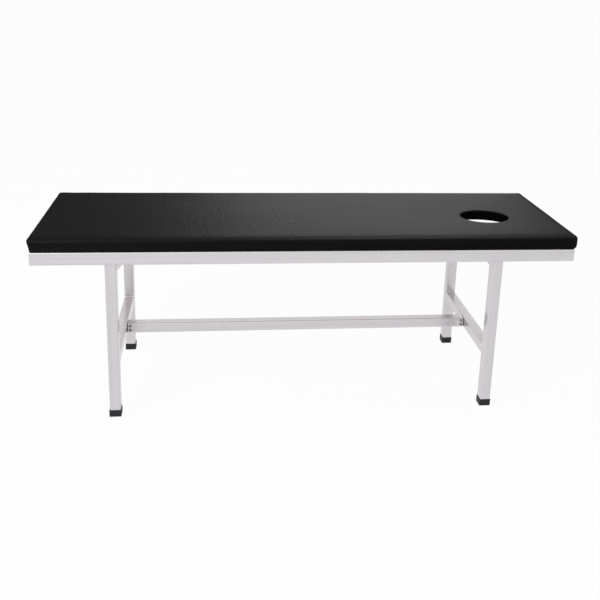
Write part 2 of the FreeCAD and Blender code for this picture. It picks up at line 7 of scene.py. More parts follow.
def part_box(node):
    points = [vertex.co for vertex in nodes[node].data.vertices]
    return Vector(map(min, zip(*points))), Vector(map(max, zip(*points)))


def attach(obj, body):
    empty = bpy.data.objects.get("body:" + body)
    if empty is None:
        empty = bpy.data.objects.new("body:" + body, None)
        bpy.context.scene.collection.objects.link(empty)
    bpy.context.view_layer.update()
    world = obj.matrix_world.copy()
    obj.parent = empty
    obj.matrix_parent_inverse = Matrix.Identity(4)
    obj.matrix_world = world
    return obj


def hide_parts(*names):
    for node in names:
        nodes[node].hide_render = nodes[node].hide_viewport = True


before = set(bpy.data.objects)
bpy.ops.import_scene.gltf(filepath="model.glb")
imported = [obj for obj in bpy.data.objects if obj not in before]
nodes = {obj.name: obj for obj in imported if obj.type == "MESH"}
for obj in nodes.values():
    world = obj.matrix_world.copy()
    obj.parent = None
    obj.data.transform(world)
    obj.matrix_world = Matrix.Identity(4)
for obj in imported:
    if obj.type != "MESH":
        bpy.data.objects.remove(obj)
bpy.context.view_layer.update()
scene = bpy.context.scene
MM = 0.001

# Places taken from the CAD frame
pad_low, pad_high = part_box("upholstery_cover")
board_low, board_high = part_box("base_board")
liner_low, liner_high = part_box("face_hole_liner")
HALF_X = pad_high.x
HALF_Y = pad_high.y
PAD_BOTTOM = pad_low.z
PAD_TOP = pad_high.z
BOARD_BOTTOM = board_low.z
BOARD_TOP = board_high.z
CROSS_RAILS = [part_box(place_name + "_cross_rail") for place_name in ("foot", "middle", "head")]

# The hole: its oval, and how far out from it the board's edge and the lining's hem lie
COVER = 1 * MM
SOFT_RIM = 45 * MM
LINER_HEM = 25 * MM
BOARD_EDGE = COVER + SOFT_RIM
LINER_REACH = BOARD_EDGE + LINER_HEM
HOLE_X = (liner_low.x + liner_high.x) / 2
HOLE_Y = (liner_low.y + liner_high.y) / 2
HOLE_RX = (liner_high.x - liner_low.x) / 2 - LINER_REACH
HOLE_RY = (liner_high.y - liner_low.y) / 2 - LINER_REACH

# The pad's own form
ROLL = 12 * MM
CROWN = 2 * MM
SHOULDER = 55 * MM
EDGE_TOP = PAD_TOP - CROWN
HEM = 53 * MM
CORNER = 15 * MM
CORNER_LEAST = 3 * MM
CORNER_FADE = 0.875
GRID_INSET = 32 * MM
RIM_ROLL = 3 * MM
SEAM_DEPTH = 8 * MM
SEAM_Z = PAD_TOP - SEAM_DEPTH
FOAM_GAP = 0.2 * MM
FOAM_LOW = BOARD_TOP + FOAM_GAP
SLACK = 2.5 * MM
PUFF = 4 * MM
HANDLING_DEPTH = 0.5 * MM
FREE, HELD = 0.0, 1.0

# The cover's side from the roll down to the hem, as insets and heights above the pad's foot in mm: pulled in
# straight at the foot end, held upright and tucked under at the head end. Below HELD_BELOW the cover stays
# still while the pad fills
FOOT_SIDE = ((1.0, 33.5), (2.6, 28), (4.1, 22.5), (5.4, 17), (6.4, 11.5), (7.2, 7), (7.7, 3.6), (7.9, 1.2),
             (9.0, 0.05))
HEAD_SIDE = ((0.0, 33.5), (0.0, 28), (0.0, 22.5), (0.1, 17), (0.5, 12), (1.8, 7.5), (4.2, 3.8), (7.6, 1.2),
             (11.5, 0.05))
HELD_BELOW = 6


# Shader helpers
def add_node(tree, kind, inputs=None, **settings):
    node = tree.nodes.new(kind)
    for key, value in settings.items():
        setattr(node, key, value)
    for key, value in (inputs or {}).items():
        if isinstance(value, bpy.types.NodeSocket):
            tree.links.new(value, node.inputs[key])
        else:
            node.inputs[key].default_value = value
    return node


def new_material(name):
    material = bpy.data.materials.new(name)
    material.use_nodes = True
    tree = material.node_tree
    tree.nodes.clear()
    return material, tree


def place(tree, scale=(1, 1, 1)):
    """Row-frame coordinates, stretched by a scale for each axis."""
    coordinates = add_node(tree, "ShaderNodeTexCoord").outputs["Object"]
    return add_node(tree, "ShaderNodeMapping", {"Vector": coordinates, "Scale": scale}).outputs[0]


def noise_value(tree, vector, scale, detail=3.0, roughness=0.55):
    inputs = {"Vector": vector, "Scale": scale, "Detail": detail, "Roughness": roughness}
    return add_node(tree, "ShaderNodeTexNoise", inputs).outputs[0]


def remap(tree, value, low, high, start=0.3, end=0.7):
    inputs = {"Value": value, "From Min": start, "From Max": end, "To Min": low, "To Max": high}
    return add_node(tree, "ShaderNodeMapRange", inputs, clamp=True).outputs[0]


def blend_colours(tree, value, first, second):
    mix = add_node(tree, "ShaderNodeMix", data_type="RGBA")
    tree.links.new(value, mix.inputs[0])
    for socket, colour in ((mix.inputs[6], first), (mix.inputs[7], second)):
        if isinstance(colour, bpy.types.NodeSocket):
            tree.links.new(colour, socket)
        else:
            socket.default_value = (*colour, 1.0)
    return mix.outputs[2]


def combine(tree, operation, first, second):
    return add_node(tree, "ShaderNodeMath", {0: first, 1: second}, operation=operation).outputs[0]


def bump(tree, height, distance, strength=1.0, below=None):
    inputs = {"Height": height, "Distance": distance, "Strength": strength}
    if below is not None:
        inputs["Normal"] = below
    return add_node(tree, "ShaderNodeBump", inputs).outputs[0]


def surface(tree, inputs):
    shader = add_node(tree, "ShaderNodeBsdfPrincipled", inputs)
    add_node(tree, "ShaderNodeOutputMaterial", {"Surface": shader.outputs[0]})


# Materials
def leather(name, dark, light):
    """Black coated leather: pebbled grain, fine creases, and patches where handling has flattened them."""
    material, tree = new_material(name)
    here = place(tree)
    cells = {"Vector": here, "Scale": 620.0, "Randomness": 0.9}
    pebbles = add_node(tree, "ShaderNodeTexVoronoi", cells, feature="SMOOTH_F1").outputs["Distance"]
    creases = noise_value(tree, here, 240.0, 6.0, 0.65)
    handling = noise_value(tree, here, 26.0, 5.0)
    mottle = noise_value(tree, here, 80.0, 3.0)
    grain = bump(tree, mottle, 1.1 * MM)
    grain = bump(tree, pebbles, 0.25 * MM, remap(tree, handling, 0.5, 0.9), grain)
    grain = bump(tree, creases, 0.35 * MM, remap(tree, handling, 0.4, 0.75), grain)
    surface(tree, {
        "Base Color": blend_colours(tree, remap(tree, creases, 0, 1), dark, light),
        "Roughness": 0.7,
        "Specular IOR Level": 0.0,
        "Normal": grain,
        "Coat Weight": 0.085,
        "Coat Roughness": 0.5,
        "Coat Normal": grain,
    })
    return material


def steel(name, axis):
    """Satin tube with drawing marks along its own length."""
    material, tree = new_material(name)
    streak_scale = [900.0] * 3
    streak_scale[axis] = 5.0
    streaks = noise_value(tree, place(tree, streak_scale), 1.0, 4.0, 0.6)
    band_scale = [90.0] * 3
    band_scale[axis] = 1.2
    bands = noise_value(tree, place(tree, band_scale), 1.0, 3.0, 0.5)
    smudges = noise_value(tree, place(tree), 9.0, 5.0, 0.6)
    tone = blend_colours(tree, remap(tree, streaks, 0, 1), (0.625, 0.60, 0.625), (0.685, 0.665, 0.69))
    tone = blend_colours(tree, remap(tree, bands, 0, 0.32, 0.4, 0.7), tone, (0.50, 0.485, 0.515))
    tone = blend_colours(tree, remap(tree, smudges, 0, 0.3, 0.45, 0.75), tone, (0.60, 0.555, 0.575))
    roughness = combine(tree, "ADD", remap(tree, streaks, 0.18, 0.28), remap(tree, smudges, -0.03, 0.05))
    surface(tree, {
        "Base Color": tone,
        "Metallic": 0.8,
        "Roughness": roughness,
        "Normal": bump(tree, streaks, 0.04 * MM, 0.35),
    })
    return material


def zinc():
    """Plated fasteners: pale grey with a faint crystalline mottle."""
    material, tree = new_material("zinc_plate")
    here = place(tree)
    cells = add_node(tree, "ShaderNodeTexVoronoi", {"Vector": here, "Scale": 900.0})
    mottle = remap(tree, cells.outputs["Distance"], 0, 1, 0.0, 0.9)
    wear = noise_value(tree, here, 160.0, 5.0)
    surface(tree, {
        "Base Color": blend_colours(tree, mottle, (0.50, 0.51, 0.53), (0.66, 0.66, 0.66)),
        "Metallic": 1.0,
        "Roughness": remap(tree, wear, 0.24, 0.44),
        "Normal": bump(tree, wear, 0.05 * MM, 0.4),
    })
    return material


def black_oxide():
    """Screw heads blackened in an oil bath, rubbed to grey metal on the high spots."""
    material, tree = new_material("black_oxide")
    wear = noise_value(tree, place(tree), 700.0, 5.0, 0.6)
    surface(tree, {
        "Base Color": blend_colours(tree, remap(tree, wear, 0, 1), (0.16, 0.16, 0.165), (0.38, 0.37, 0.38)),
        "Metallic": 0.9,
        "Roughness": remap(tree, wear, 0.3, 0.5),
        "Normal": bump(tree, wear, 0.05 * MM, 0.4),
    })
    return material


def socket_shade_steel():
    """Sockets: steel coloured nearly black as painted shade in the seam gaps at the stretcher's ends, its
    tone varying at random.
    """
    material, tree = new_material("socket_shade_steel")
    scale = noise_value(tree, place(tree), 120.0, 6.0, 0.65)
    # Near-black tones: painted shade for the seam gaps where the sockets show
    tone = blend_colours(tree, remap(tree, scale, 0, 1), (0.035, 0.032, 0.032), (0.085, 0.078, 0.076))
    surface(tree, {
        "Base Color": tone,
        "Metallic": 0.5,
        "Roughness": remap(tree, scale, 0.5, 0.75),
        "Normal": bump(tree, scale, 0.15 * MM, 0.5),
    })
    return material


def weld_metal():
    """Weld beads: ripples coloured brighter than the tube steel as a painted highlight at the joints, with a
    faint straw tint from the heat.
    """
    material, tree = new_material("weld_metal")
    here = place(tree)
    tint = noise_value(tree, here, 90.0, 4.0, 0.6)
    spatter = noise_value(tree, here, 800.0, 4.0, 0.6)
    # The near-white colour is a painted highlight; the straw colour is the heat tint
    tone = blend_colours(tree, remap(tree, tint, 0, 1, 0.35, 0.65), (0.92, 0.92, 0.95), (0.78, 0.75, 0.73))
    surface(tree, {
        "Base Color": tone,
        "Metallic": 0.8,
        "Roughness": remap(tree, spatter, 0.18, 0.36),
        "Normal": bump(tree, spatter, 0.12 * MM, 0.5),
    })
    return material


def thread():
    """Bonded black sewing thread with a visible twist."""
    material, tree = new_material("black_thread")
    lay = {"Vector": place(tree), "Scale": 900.0, "Distortion": 1.5}
    twist = add_node(tree, "ShaderNodeTexWave", lay, wave_type="BANDS", bands_direction="DIAGONAL").outputs[1]
    surface(tree, {
        "Base Color": blend_colours(tree, twist, (0.006, 0.006, 0.007), (0.020, 0.020, 0.022)),
        "Roughness": remap(tree, twist, 0.45, 0.65, 0.0, 1.0),
        "Specular IOR Level": 0.3,
        "Normal": bump(tree, twist, 0.1 * MM, 0.6),
    })
    return material


def moulded_plastic():
    """Floor caps: black moulded plastic with a fine spark texture and faint level scuffs."""
    material, tree = new_material("cap_plastic")
    spark = noise_value(tree, place(tree), 1400.0, 2.0, 0.5)
    scuffs = noise_value(tree, place(tree, (60, 60, 400)), 1.0, 5.0, 0.65)
    worn = remap(tree, scuffs, 0, 1, 0.5, 0.75)
    surface(tree, {
        "Base Color": blend_colours(tree, worn, (0.009, 0.008, 0.011), (0.018, 0.016, 0.021)),
        "Roughness": remap(tree, scuffs, 0.42, 0.58),
        "Specular IOR Level": 0.3,
        "Normal": bump(tree, spark, 0.06 * MM, 0.5),
    })
    return material


def plywood():
    """Birch board: long grain on the faces, thin plies on the cut edges."""
    material, tree = new_material("birch_plywood")
    grain = noise_value(tree, place(tree, (6, 130, 130)), 1.0, 6.0, 0.6)
    pores = noise_value(tree, place(tree, (40, 1500, 1500)), 1.0, 2.0, 0.5)
    figure = noise_value(tree, place(tree, (1.6, 9, 9)), 1.0, 3.0, 0.5)
    tone = blend_colours(tree, remap(tree, grain, 0, 1), (0.60, 0.45, 0.29), (0.76, 0.62, 0.43))
    tone = blend_colours(tree, remap(tree, figure, 0, 0.5), tone, (0.66, 0.49, 0.32))
    plies = add_node(tree, "ShaderNodeTexWave", {"Vector": place(tree), "Scale": 65.0},
                     wave_type="BANDS", bands_direction="Z", wave_profile="SAW").outputs[1]
    normal = add_node(tree, "ShaderNodeNewGeometry").outputs["Normal"]
    upright = add_node(tree, "ShaderNodeSeparateXYZ", {0: normal}).outputs["Z"]
    on_edge = remap(tree, combine(tree, "ABSOLUTE", upright, 0.0), 1, 0, 0.3, 0.6)
    layered = blend_colours(tree, combine(tree, "MULTIPLY", plies, on_edge), tone, (0.26, 0.15, 0.08))
    surface(tree, {
        "Base Color": layered,
        "Roughness": remap(tree, grain, 0.55, 0.75),
        "Normal": bump(tree, pores, 0.1 * MM, 0.4),
    })
    return material


def lining_cloth():
    """Woven black lining of the hole, its black set darker still as painted shade inside the hole."""
    material, tree = new_material("lining_cloth")
    here = place(tree)
    threads = []
    for direction in ("X", "Z"):
        wave = add_node(tree, "ShaderNodeTexWave", {"Vector": here, "Scale": 420.0, "Distortion": 0.6},
                        wave_type="BANDS", bands_direction=direction)
        threads.append(wave.outputs[1])
    weave = combine(tree, "MAXIMUM", *threads)
    fade = noise_value(tree, here, 30.0, 4.0)
    # Tones below real black cloth: black lining plus painted shade inside the hole; the fade varies at random
    tone = blend_colours(tree, remap(tree, fade, 0, 1), (0.0015, 0.0015, 0.0017), (0.003, 0.003, 0.0034))
    surface(tree, {
        "Base Color": tone,
        "Roughness": remap(tree, fade, 0.75, 0.9),
        "Specular IOR Level": 0.0,
        "Normal": bump(tree, weave, 0.15 * MM, 0.5),
    })
    return material


BLACK_LEATHER = leather("black_leather", (0.0010, 0.0010, 0.0011), (0.0026, 0.0025, 0.0027))
LINING = lining_cloth()
STEEL_X = steel("steel_along_x", 0)
STEEL_Y = steel("steel_along_y", 1)
STEEL_Z = steel("steel_along_z", 2)
ZINC = zinc()
BLACK_OXIDE = black_oxide()
SOCKET_SHADE_STEEL = socket_shade_steel()
WELD_METAL = weld_metal()
THREAD = thread()
CAP_PLASTIC = moulded_plastic()
PLYWOOD = plywood()


def paint(obj, material):
    obj.data.materials.clear()
    obj.data.materials.append(material)


# The first ending that fits a node's name gives its material; the remaining nodes are plated fasteners
NODE_LOOKS = (
    ("_side_rail", STEEL_X), ("stretcher", STEEL_X),
    ("_end_rail", STEEL_Y), ("_cross_rail", STEEL_Y), ("_crossbar", STEEL_Y),
    ("_leg", STEEL_Z), ("_bracket", STEEL_Z),
    # Sockets take the near-black steel, painted shade in the seam gaps
    ("_socket", SOCKET_SHADE_STEEL), ("_cap", CAP_PLASTIC), ("base_board", PLYWOOD),
)
for node_name, node in nodes.items():
    looks = [material for ending, material in NODE_LOOKS if node_name.endswith(ending)]
    paint(node, looks[0] if looks else ZINC)


# Mesh helpers
def make_piece(name, verts, faces, material):
    mesh = bpy.data.meshes.new(name)
    mesh.from_pydata(verts, [], faces)
    shape = bmesh.new()
    shape.from_mesh(mesh)
    bmesh.ops.recalc_face_normals(shape, faces=shape.faces)
    shape.to_mesh(mesh)
    shape.free()
    mesh.shade_smooth()
    obj = bpy.data.objects.new(name, mesh)
    scene.collection.objects.link(obj)
    paint(obj, material)
    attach(obj, "root")
    return obj


def stations(marks, steps):
    """Evenly spaced values between successive marks, about a step apart."""
    values = [marks[0]]
    for start, end, step in zip(marks, marks[1:], steps):
        count = max(1, round((end - start) / step))
        values += [start + (end - start) * k / count for k in range(1, count + 1)]
    return values


def on_outline(x, y, inner, inset, radius):
    """A point of the inner rectangle's edge carried out to the pad's rounded outline at an inset."""
    outer = (HALF_X - inset, HALF_Y - inset)
    tiny = 1e-9
    main = 0 if abs(abs(y) - inner[1]) < tiny else 1
    point = (x, y)
    reach = outer[main] - radius
    travel = abs(point[main]) / inner[main] * (reach + radius * math.pi / 4)
    straight = min(travel, reach)
    turn = (travel - straight) / radius
    result = [0.0, 0.0]
    result[main] = math.copysign(straight + radius * math.sin(turn), point[main])
    result[1 - main] = math.copysign(outer[1 - main] - radius + radius * math.cos(turn), point[1 - main])
    return result


def oval(angle, growth):
    """A point of the hole's outline, carried outwards by a growth."""
    return (HOLE_X + (HOLE_RX + growth) * math.cos(angle), HOLE_Y + (HOLE_RY + growth) * math.sin(angle))


def crown_height(x, y):
    """Top surface: level in the middle, with a soft shoulder towards the rolled edges."""
    run = SHOULDER - ROLL
    run_x = min(1.0, max(0.0, (abs(x) - HALF_X + SHOULDER) / run))
    run_y = min(1.0, max(0.0, (abs(y) - HALF_Y + SHOULDER) / run))
    return EDGE_TOP + CROWN * (1 - run_x ** 4) * (1 - run_y ** 4)


# Cushion: cover and foam as one closed form, wrapped round the board
def cushion_mesh(drop):
    """Vertices, faces and the weight that holds each vertex still; drop is the slack left for the filling."""
    verts, faces, hold = [], [], []

    def add(x, y, z, held):
        verts.append((x, y, z))
        hold.append(held)
        return len(verts) - 1

    def bridge(first, second):
        count = len(first)
        for k in range(count):
            faces.append((first[k], first[(k + 1) % count], second[(k + 1) % count], second[k]))

    # Grid lines of the two broad sides, closer together near the edges and round the hole
    inner = (HALF_X - GRID_INSET, HALF_Y - GRID_INSET)
    fine, medium, coarse = 4.5 * MM, 10 * MM, 13 * MM
    band = 22 * MM
    margin = 54 * MM
    block_x = (HOLE_X - HOLE_RX - margin, HOLE_X + HOLE_RX + margin)
    block_y = (HOLE_Y - HOLE_RY - margin, HOLE_Y + HOLE_RY + margin)
    steps = (fine, coarse, medium, coarse, fine)
    xs = stations((-inner[0], -inner[0] + band, *block_x, inner[0] - band, inner[0]), steps)
    ys = stations((-inner[1], -inner[1] + band, *block_y, inner[1] - band, inner[1]), steps)
    left, right = xs.index(block_x[0]), xs.index(block_x[1])
    front, back = ys.index(block_y[0]), ys.index(block_y[1])

    def loop(i0, i1, j0, j1):
        edge = [(i, j0) for i in range(i0, i1)] + [(i1, j) for j in range(j0, j1)]
        return edge + [(i, j1) for i in range(i1, i0, -1)] + [(i0, j) for j in range(j1, j0, -1)]

    def field(height, held):
        """One broad side of the pad, left open where the hole's rings go."""
        index = {}
        for i, x in enumerate(xs):
            for j, y in enumerate(ys):
                if not (left < i < right and front < j < back):
                    index[i, j] = add(x, y, height(x, y), held)
        for i in range(len(xs) - 1):
            for j in range(len(ys) - 1):
                if not (left <= i < right and front <= j < back):
                    faces.append((index[i, j], index[i + 1, j], index[i + 1, j + 1], index[i, j + 1]))
        outside = [index[key] for key in loop(0, len(xs) - 1, 0, len(ys) - 1)]
        around = [index[key] for key in loop(left, right, front, back)]
        return outside, around

    def top(x, y):
        return crown_height(x, y) - drop

    def foam_floor(x, y):
        return FOAM_LOW

    top_edge, top_block = field(top, FREE)
    low_edge, low_block = field(foam_floor, HELD)
    rim = [(verts[k][0], verts[k][1]) for k in top_block]
    angles = []
    for x, y in rim:
        angles.append(math.atan2((y - HOLE_Y) / (HOLE_RY + margin), (x - HOLE_X) / (HOLE_RX + margin)))

    def approach(start, height, growth, held):
        """Rings from the square block in to the oval."""
        ring = start
        for share in (0.22, 0.42, 0.60, 0.75, 0.88, 1.0):
            points = []
            for (x, y), angle in zip(rim, angles):
                ox, oy = oval(angle, growth)
                px, py = x + (ox - x) * share, y + (oy - y) * share
                points.append(add(px, py, height(px, py), held))
            bridge(ring, points)
            ring = points
        return ring

    # Over the hole's rim and down behind the lining
    behind_lining = 1.2 * MM
    rim_approach = RIM_ROLL + 3 * MM
    ring = approach(top_block, top, rim_approach, FREE)
    for degrees in (0, 22, 45, 68, 90):
        turn = math.radians(degrees)
        growth, fall = RIM_ROLL * (1 - math.sin(turn)), RIM_ROLL * (1 - math.cos(turn))
        points = []
        for angle in angles:
            x, y = oval(angle, growth)
            points.append(add(x, y, top(x, y) - fall, FREE))
        bridge(ring, points)
        ring = points
    wall_profile = ((0.0, SEAM_Z + 1.6 * MM), (0.9 * MM, SEAM_Z), (behind_lining, SEAM_Z - 3 * MM),
                    (behind_lining, (SEAM_Z + BOARD_TOP) / 2), (behind_lining, BOARD_TOP + 3 * MM))
    for growth, z in wall_profile:
        points = [add(*oval(angle, growth), z, HELD) for angle in angles]
        bridge(ring, points)
        ring = points
    low_ring = approach(low_block, foam_floor, behind_lining, HELD)
    bridge(ring, low_ring)

    # Round the roll, down the side, under the board as a hem and back over the board to the foam
    edge = [(verts[k][0], verts[k][1]) for k in top_edge]
    ring = top_edge
    on_top = 0.0

    def ring_round(foot, head, held):
        """One ring; foot and head are its inset and height at the pad's ends, on_top follows the crown."""
        nonlocal ring
        points = []
        for ex, ey in edge:
            head_share = (ex + inner[0]) / (2 * inner[0])
            inset, z = (f + (h - f) * head_share for f, h in zip(foot, head))
            x, y = on_outline(ex, ey, inner, inset, max(CORNER_LEAST, CORNER - CORNER_FADE * inset))
            points.append(add(x, y, top(x, y) if z == on_top else z, held))
        bridge(ring, points)
        ring = points

    for inset in (27 * MM, 23 * MM, 19 * MM, 15.5 * MM):
        ring_round((inset, on_top), (inset, on_top), FREE)
    for degrees in (90, 72, 54, 36, 18, 4):
        turn = math.radians(degrees)
        level = (ROLL * (1 - math.cos(turn)), EDGE_TOP - drop - ROLL * (1 - math.sin(turn)))
        ring_round(level, level, FREE)
    foot_mm = round(PAD_BOTTOM / MM, 3)
    for sides in zip(FOOT_SIDE, HEAD_SIDE):
        held = HELD if sides[0][1] < HELD_BELOW else FREE
        foot, head = ((inset * MM, (foot_mm + height) * MM) for inset, height in sides)
        ring_round(foot, head, held)
    hem_foot = PAD_BOTTOM + 0.05 * MM
    hem_top = BOARD_BOTTOM - FOAM_GAP
    inner_skin = 8.7 * MM
    ease = 0.4 * MM
    for level in ((16 * MM, hem_foot), (28 * MM, hem_foot), (42 * MM, hem_foot), (HEM - 0.5 * MM, hem_foot),
                  (HEM, hem_foot + 0.3 * MM), (HEM, hem_top), (42 * MM, hem_top), (20 * MM, hem_top),
                  (inner_skin + ease, hem_top), (inner_skin, hem_top + ease), (inner_skin, FOAM_LOW - ease),
                  (inner_skin + 0.6 * MM, FOAM_LOW), (20 * MM, FOAM_LOW)):
        ring_round(level, level, HELD)
    bridge(ring, low_edge)
    return verts, faces, hold


def inflate(obj, hold):
    """Cloth pressure fills the slack cover; the result is scaled so that no point moves further than PUFF."""
    frames = 20
    group = obj.vertex_groups.new(name="held")
    for index, weight in enumerate(hold):
        if weight > 0:
            group.add([index], weight, "REPLACE")
    start = [v.co.copy() for v in obj.data.vertices]
    cloth = obj.modifiers.new("fill", "CLOTH")
    cloth.settings.quality = 6
    cloth.settings.vertex_group_mass = "held"
    cloth.settings.use_pressure = True
    cloth.settings.uniform_pressure_force = 4.0
    cloth.settings.effector_weights.gravity = 0.0
    cloth.collision_settings.use_collision = False
    cloth.point_cache.frame_start = 1
    cloth.point_cache.frame_end = frames
    for step in range(1, frames + 1):
        scene.frame_set(step)
    graph = bpy.context.evaluated_depsgraph_get()
    settled = [v.co.copy() for v in obj.evaluated_get(graph).data.vertices]
    obj.modifiers.remove(cloth)
    obj.vertex_groups.clear()
    scene.frame_set(1)
    moves = [b - a for a, b in zip(start, settled)]
    furthest = max(move.length for move in moves)
    share = min(1.0, PUFF / furthest) if furthest > 0 else 0.0
    for vertex, base, move in zip(obj.data.vertices, start, moves):
        vertex.co = base + move * share


def handling_marks(obj, depth):
    """Broad, very shallow unevenness of foam under a stretched cover."""
    above = BOARD_TOP + 4 * MM
    swell_x, swell_y, swell_seed = 6.0, 9.0, 3.1
    ripple_xy, ripple_z = 14.0, 20.0
    for vertex in obj.data.vertices:
        x, y, z = vertex.co
        if z > above:
            vertex.co.z += depth * noise.noise(Vector((x * swell_x, y * swell_y, swell_seed)))
            if abs(y) > HALF_Y - ROLL:
                ripple = noise.noise(Vector((x * ripple_xy, y * ripple_xy, vertex.co.z * ripple_z)))
                vertex.co.y += 0.5 * depth * ripple


cushion_verts, cushion_faces, cushion_hold = cushion_mesh(SLACK)
cushion = make_piece("cushion", cushion_verts, cushion_faces, BLACK_LEATHER)
inflate(cushion, cushion_hold)
handling_marks(cushion, HANDLING_DEPTH)
smooth = cushion.modifiers.new("smooth", "SUBSURF")
smooth.levels = 1
smooth.render_levels = 1
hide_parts("upholstery_cover", "foam_core")


# Lining of the hole: sewn to the cover at the rim, down the foam, out under it and round the board
def lining_mesh():
    under = PAD_BOTTOM + 0.1 * MM
    hem_top = BOARD_BOTTOM - 0.15 * MM
    ledge = BOARD_TOP - 0.8 * MM
    on_board = BOARD_TOP + 0.05 * MM
    fold = BOARD_EDGE - 0.9 * MM
    fold_back = BOARD_EDGE - 0.2 * MM
    hem_middle = BOARD_EDGE + 8 * MM
    hem_end = LINER_REACH - 1 * MM
    gathered = [(0.5 * MM, SEAM_Z + 0.6 * MM), (0.05 * MM, SEAM_Z - 0.6 * MM), (0.0, SEAM_Z - 4 * MM),
                (0.2 * MM, SEAM_Z - 9 * MM), (0.3 * MM, SEAM_Z - 14 * MM), (0.2 * MM, SEAM_Z - 19 * MM),
                (0.2 * MM, BOARD_TOP + 2 * MM)]
    plain = [(0.6 * MM, ledge + 0.6 * MM), (1.8 * MM, ledge), (12 * MM, ledge), (26 * MM, ledge),
             (BOARD_EDGE - 2 * MM, ledge), (fold, ledge - 0.8 * MM), (fold, (PAD_BOTTOM + BOARD_TOP) / 2),
             (fold, under + 0.8 * MM), (BOARD_EDGE + 0.2 * MM, under), (hem_middle, under), (hem_end, under),
             (hem_end, hem_top), (hem_middle, hem_top), (fold_back, hem_top), (fold_back, BOARD_TOP),
             (20 * MM, on_board), (1.1 * MM, on_board)]
    plain += [(0.95 * MM, SEAM_Z - fall * MM) for fall in (20, 10, 1)]
    profile = gathered + plain
    count = 192
    waves, wave_seed, wave_height = 9, 0.4, 0.55 * MM
    verts, faces = [], []
    for row, (growth, z) in enumerate(profile):
        for k in range(count):
            angle = 2 * math.pi * k / count
            gather = 0.0
            if row < len(gathered):
                drop = min(1.0, max(0.0, (SEAM_Z - z) / (SEAM_Z - BOARD_TOP)))
                wave = noise.noise(Vector((math.cos(angle) * waves, math.sin(angle) * waves, wave_seed)))
                gather = wave_height * wave * math.sin(math.pi * drop)
            verts.append((*oval(angle, growth + gather), z))
    rows = len(profile)
    for row in range(rows):
        for k in range(count):
            a, b = row * count, ((row + 1) % rows) * count
            faces.append((a + k, a + (k + 1) % count, b + (k + 1) % count, b + k))
    return verts, faces


lining = make_piece("face_hole_lining", *lining_mesh(), LINING)
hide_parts("face_hole_liner")


# Small pieces
def add_tube(mesh, path, radii, sides, flat, closed=False):
    """Append a tube round a flat path; flat is the direction square to the path's plane."""
    verts, faces = mesh
    start = len(verts)
    count = len(path)
    for k, (point, radius) in enumerate(zip(path, radii)):
        ahead = path[(k + 1) % count] if closed else path[min(k + 1, count - 1)]
        behind = path[k - 1] if closed else path[max(k - 1, 0)]
        across = (ahead - behind).normalized().cross(flat)
        for side in range(sides):
            turn = 2 * math.pi * side / sides
            verts.append(tuple(point + radius * (across * math.cos(turn) + flat * math.sin(turn))))
    for k in range(count if closed else count - 1):
        a = start + k * sides
        b = start + (k + 1) % count * sides
        for side in range(sides):
            following = (side + 1) % sides
            faces.append((a + side, a + following, b + following, b + side))
    if not closed:
        faces.append(tuple(start + side for side in range(sides)))
        faces.append(tuple(start + (count - 1) * sides + side for side in range(sides)))


def divided(points, step, closed=False):
    """A polyline cut into equal short steps along each of its runs."""
    ends = points[1:] + points[:1] if closed else points[1:]
    result = []
    for start, end in zip(points, ends):
        count = max(1, round((end - start).length / step))
        result += [start.lerp(end, k / count) for k in range(count)]
    return result if closed else result + [points[-1]]


def add_bead(mesh, points, size, flat, closed=False):
    """A weld bead: a tube whose thickness ripples from step to step and tapers at free ends."""
    step, dip, taper, sides = 1.1 * MM, 0.8, 0.5, 8
    wander, wander_scale = 0.12, 150
    path = divided(points, step, closed)
    radii = []
    for k, point in enumerate(path):
        lap = 1.0 if k % 2 else dip
        radii.append(size * lap * (1 + wander * noise.noise(point * wander_scale)))
    if not closed:
        radii[0] *= taper
        radii[-1] *= taper
    add_tube(mesh, path, radii, sides, flat, closed)


def rounded_loop(centre, first, second, radius):
    """The corners of a rectangle spanned by two half sides, each cut to a three-point round."""
    cut = 0.293
    points = []
    for a, b in ((1, 1), (-1, 1), (-1, -1), (1, -1)):
        inward_first = first.normalized() * radius * a
        inward_second = second.normalized() * radius * b
        corner = centre + first * a + second * b
        round_points = [corner - inward_first, corner - (inward_first + inward_second) * cut,
                        corner - inward_second]
        points += round_points[::-1] if a * b > 0 else round_points
    return points


def crossbar_welds():
    mesh = ([], [])
    inset, proud, corner, bead = 1.3 * MM, 0.3 * MM, 3 * MM, 2.9 * MM
    for end in ("foot", "head"):
        low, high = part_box(end + "_crossbar")
        centre = (low + high) / 2
        half = (high - low) / 2
        for y in (low.y, high.y):
            across = Vector((half.x - inset, 0, 0))
            upright = Vector((0, 0, half.z + proud))
            loop = rounded_loop(Vector((centre.x, y, centre.z)), across, upright, corner)
            add_bead(mesh, loop, bead, Vector((0, 1, 0)), closed=True)
    return mesh


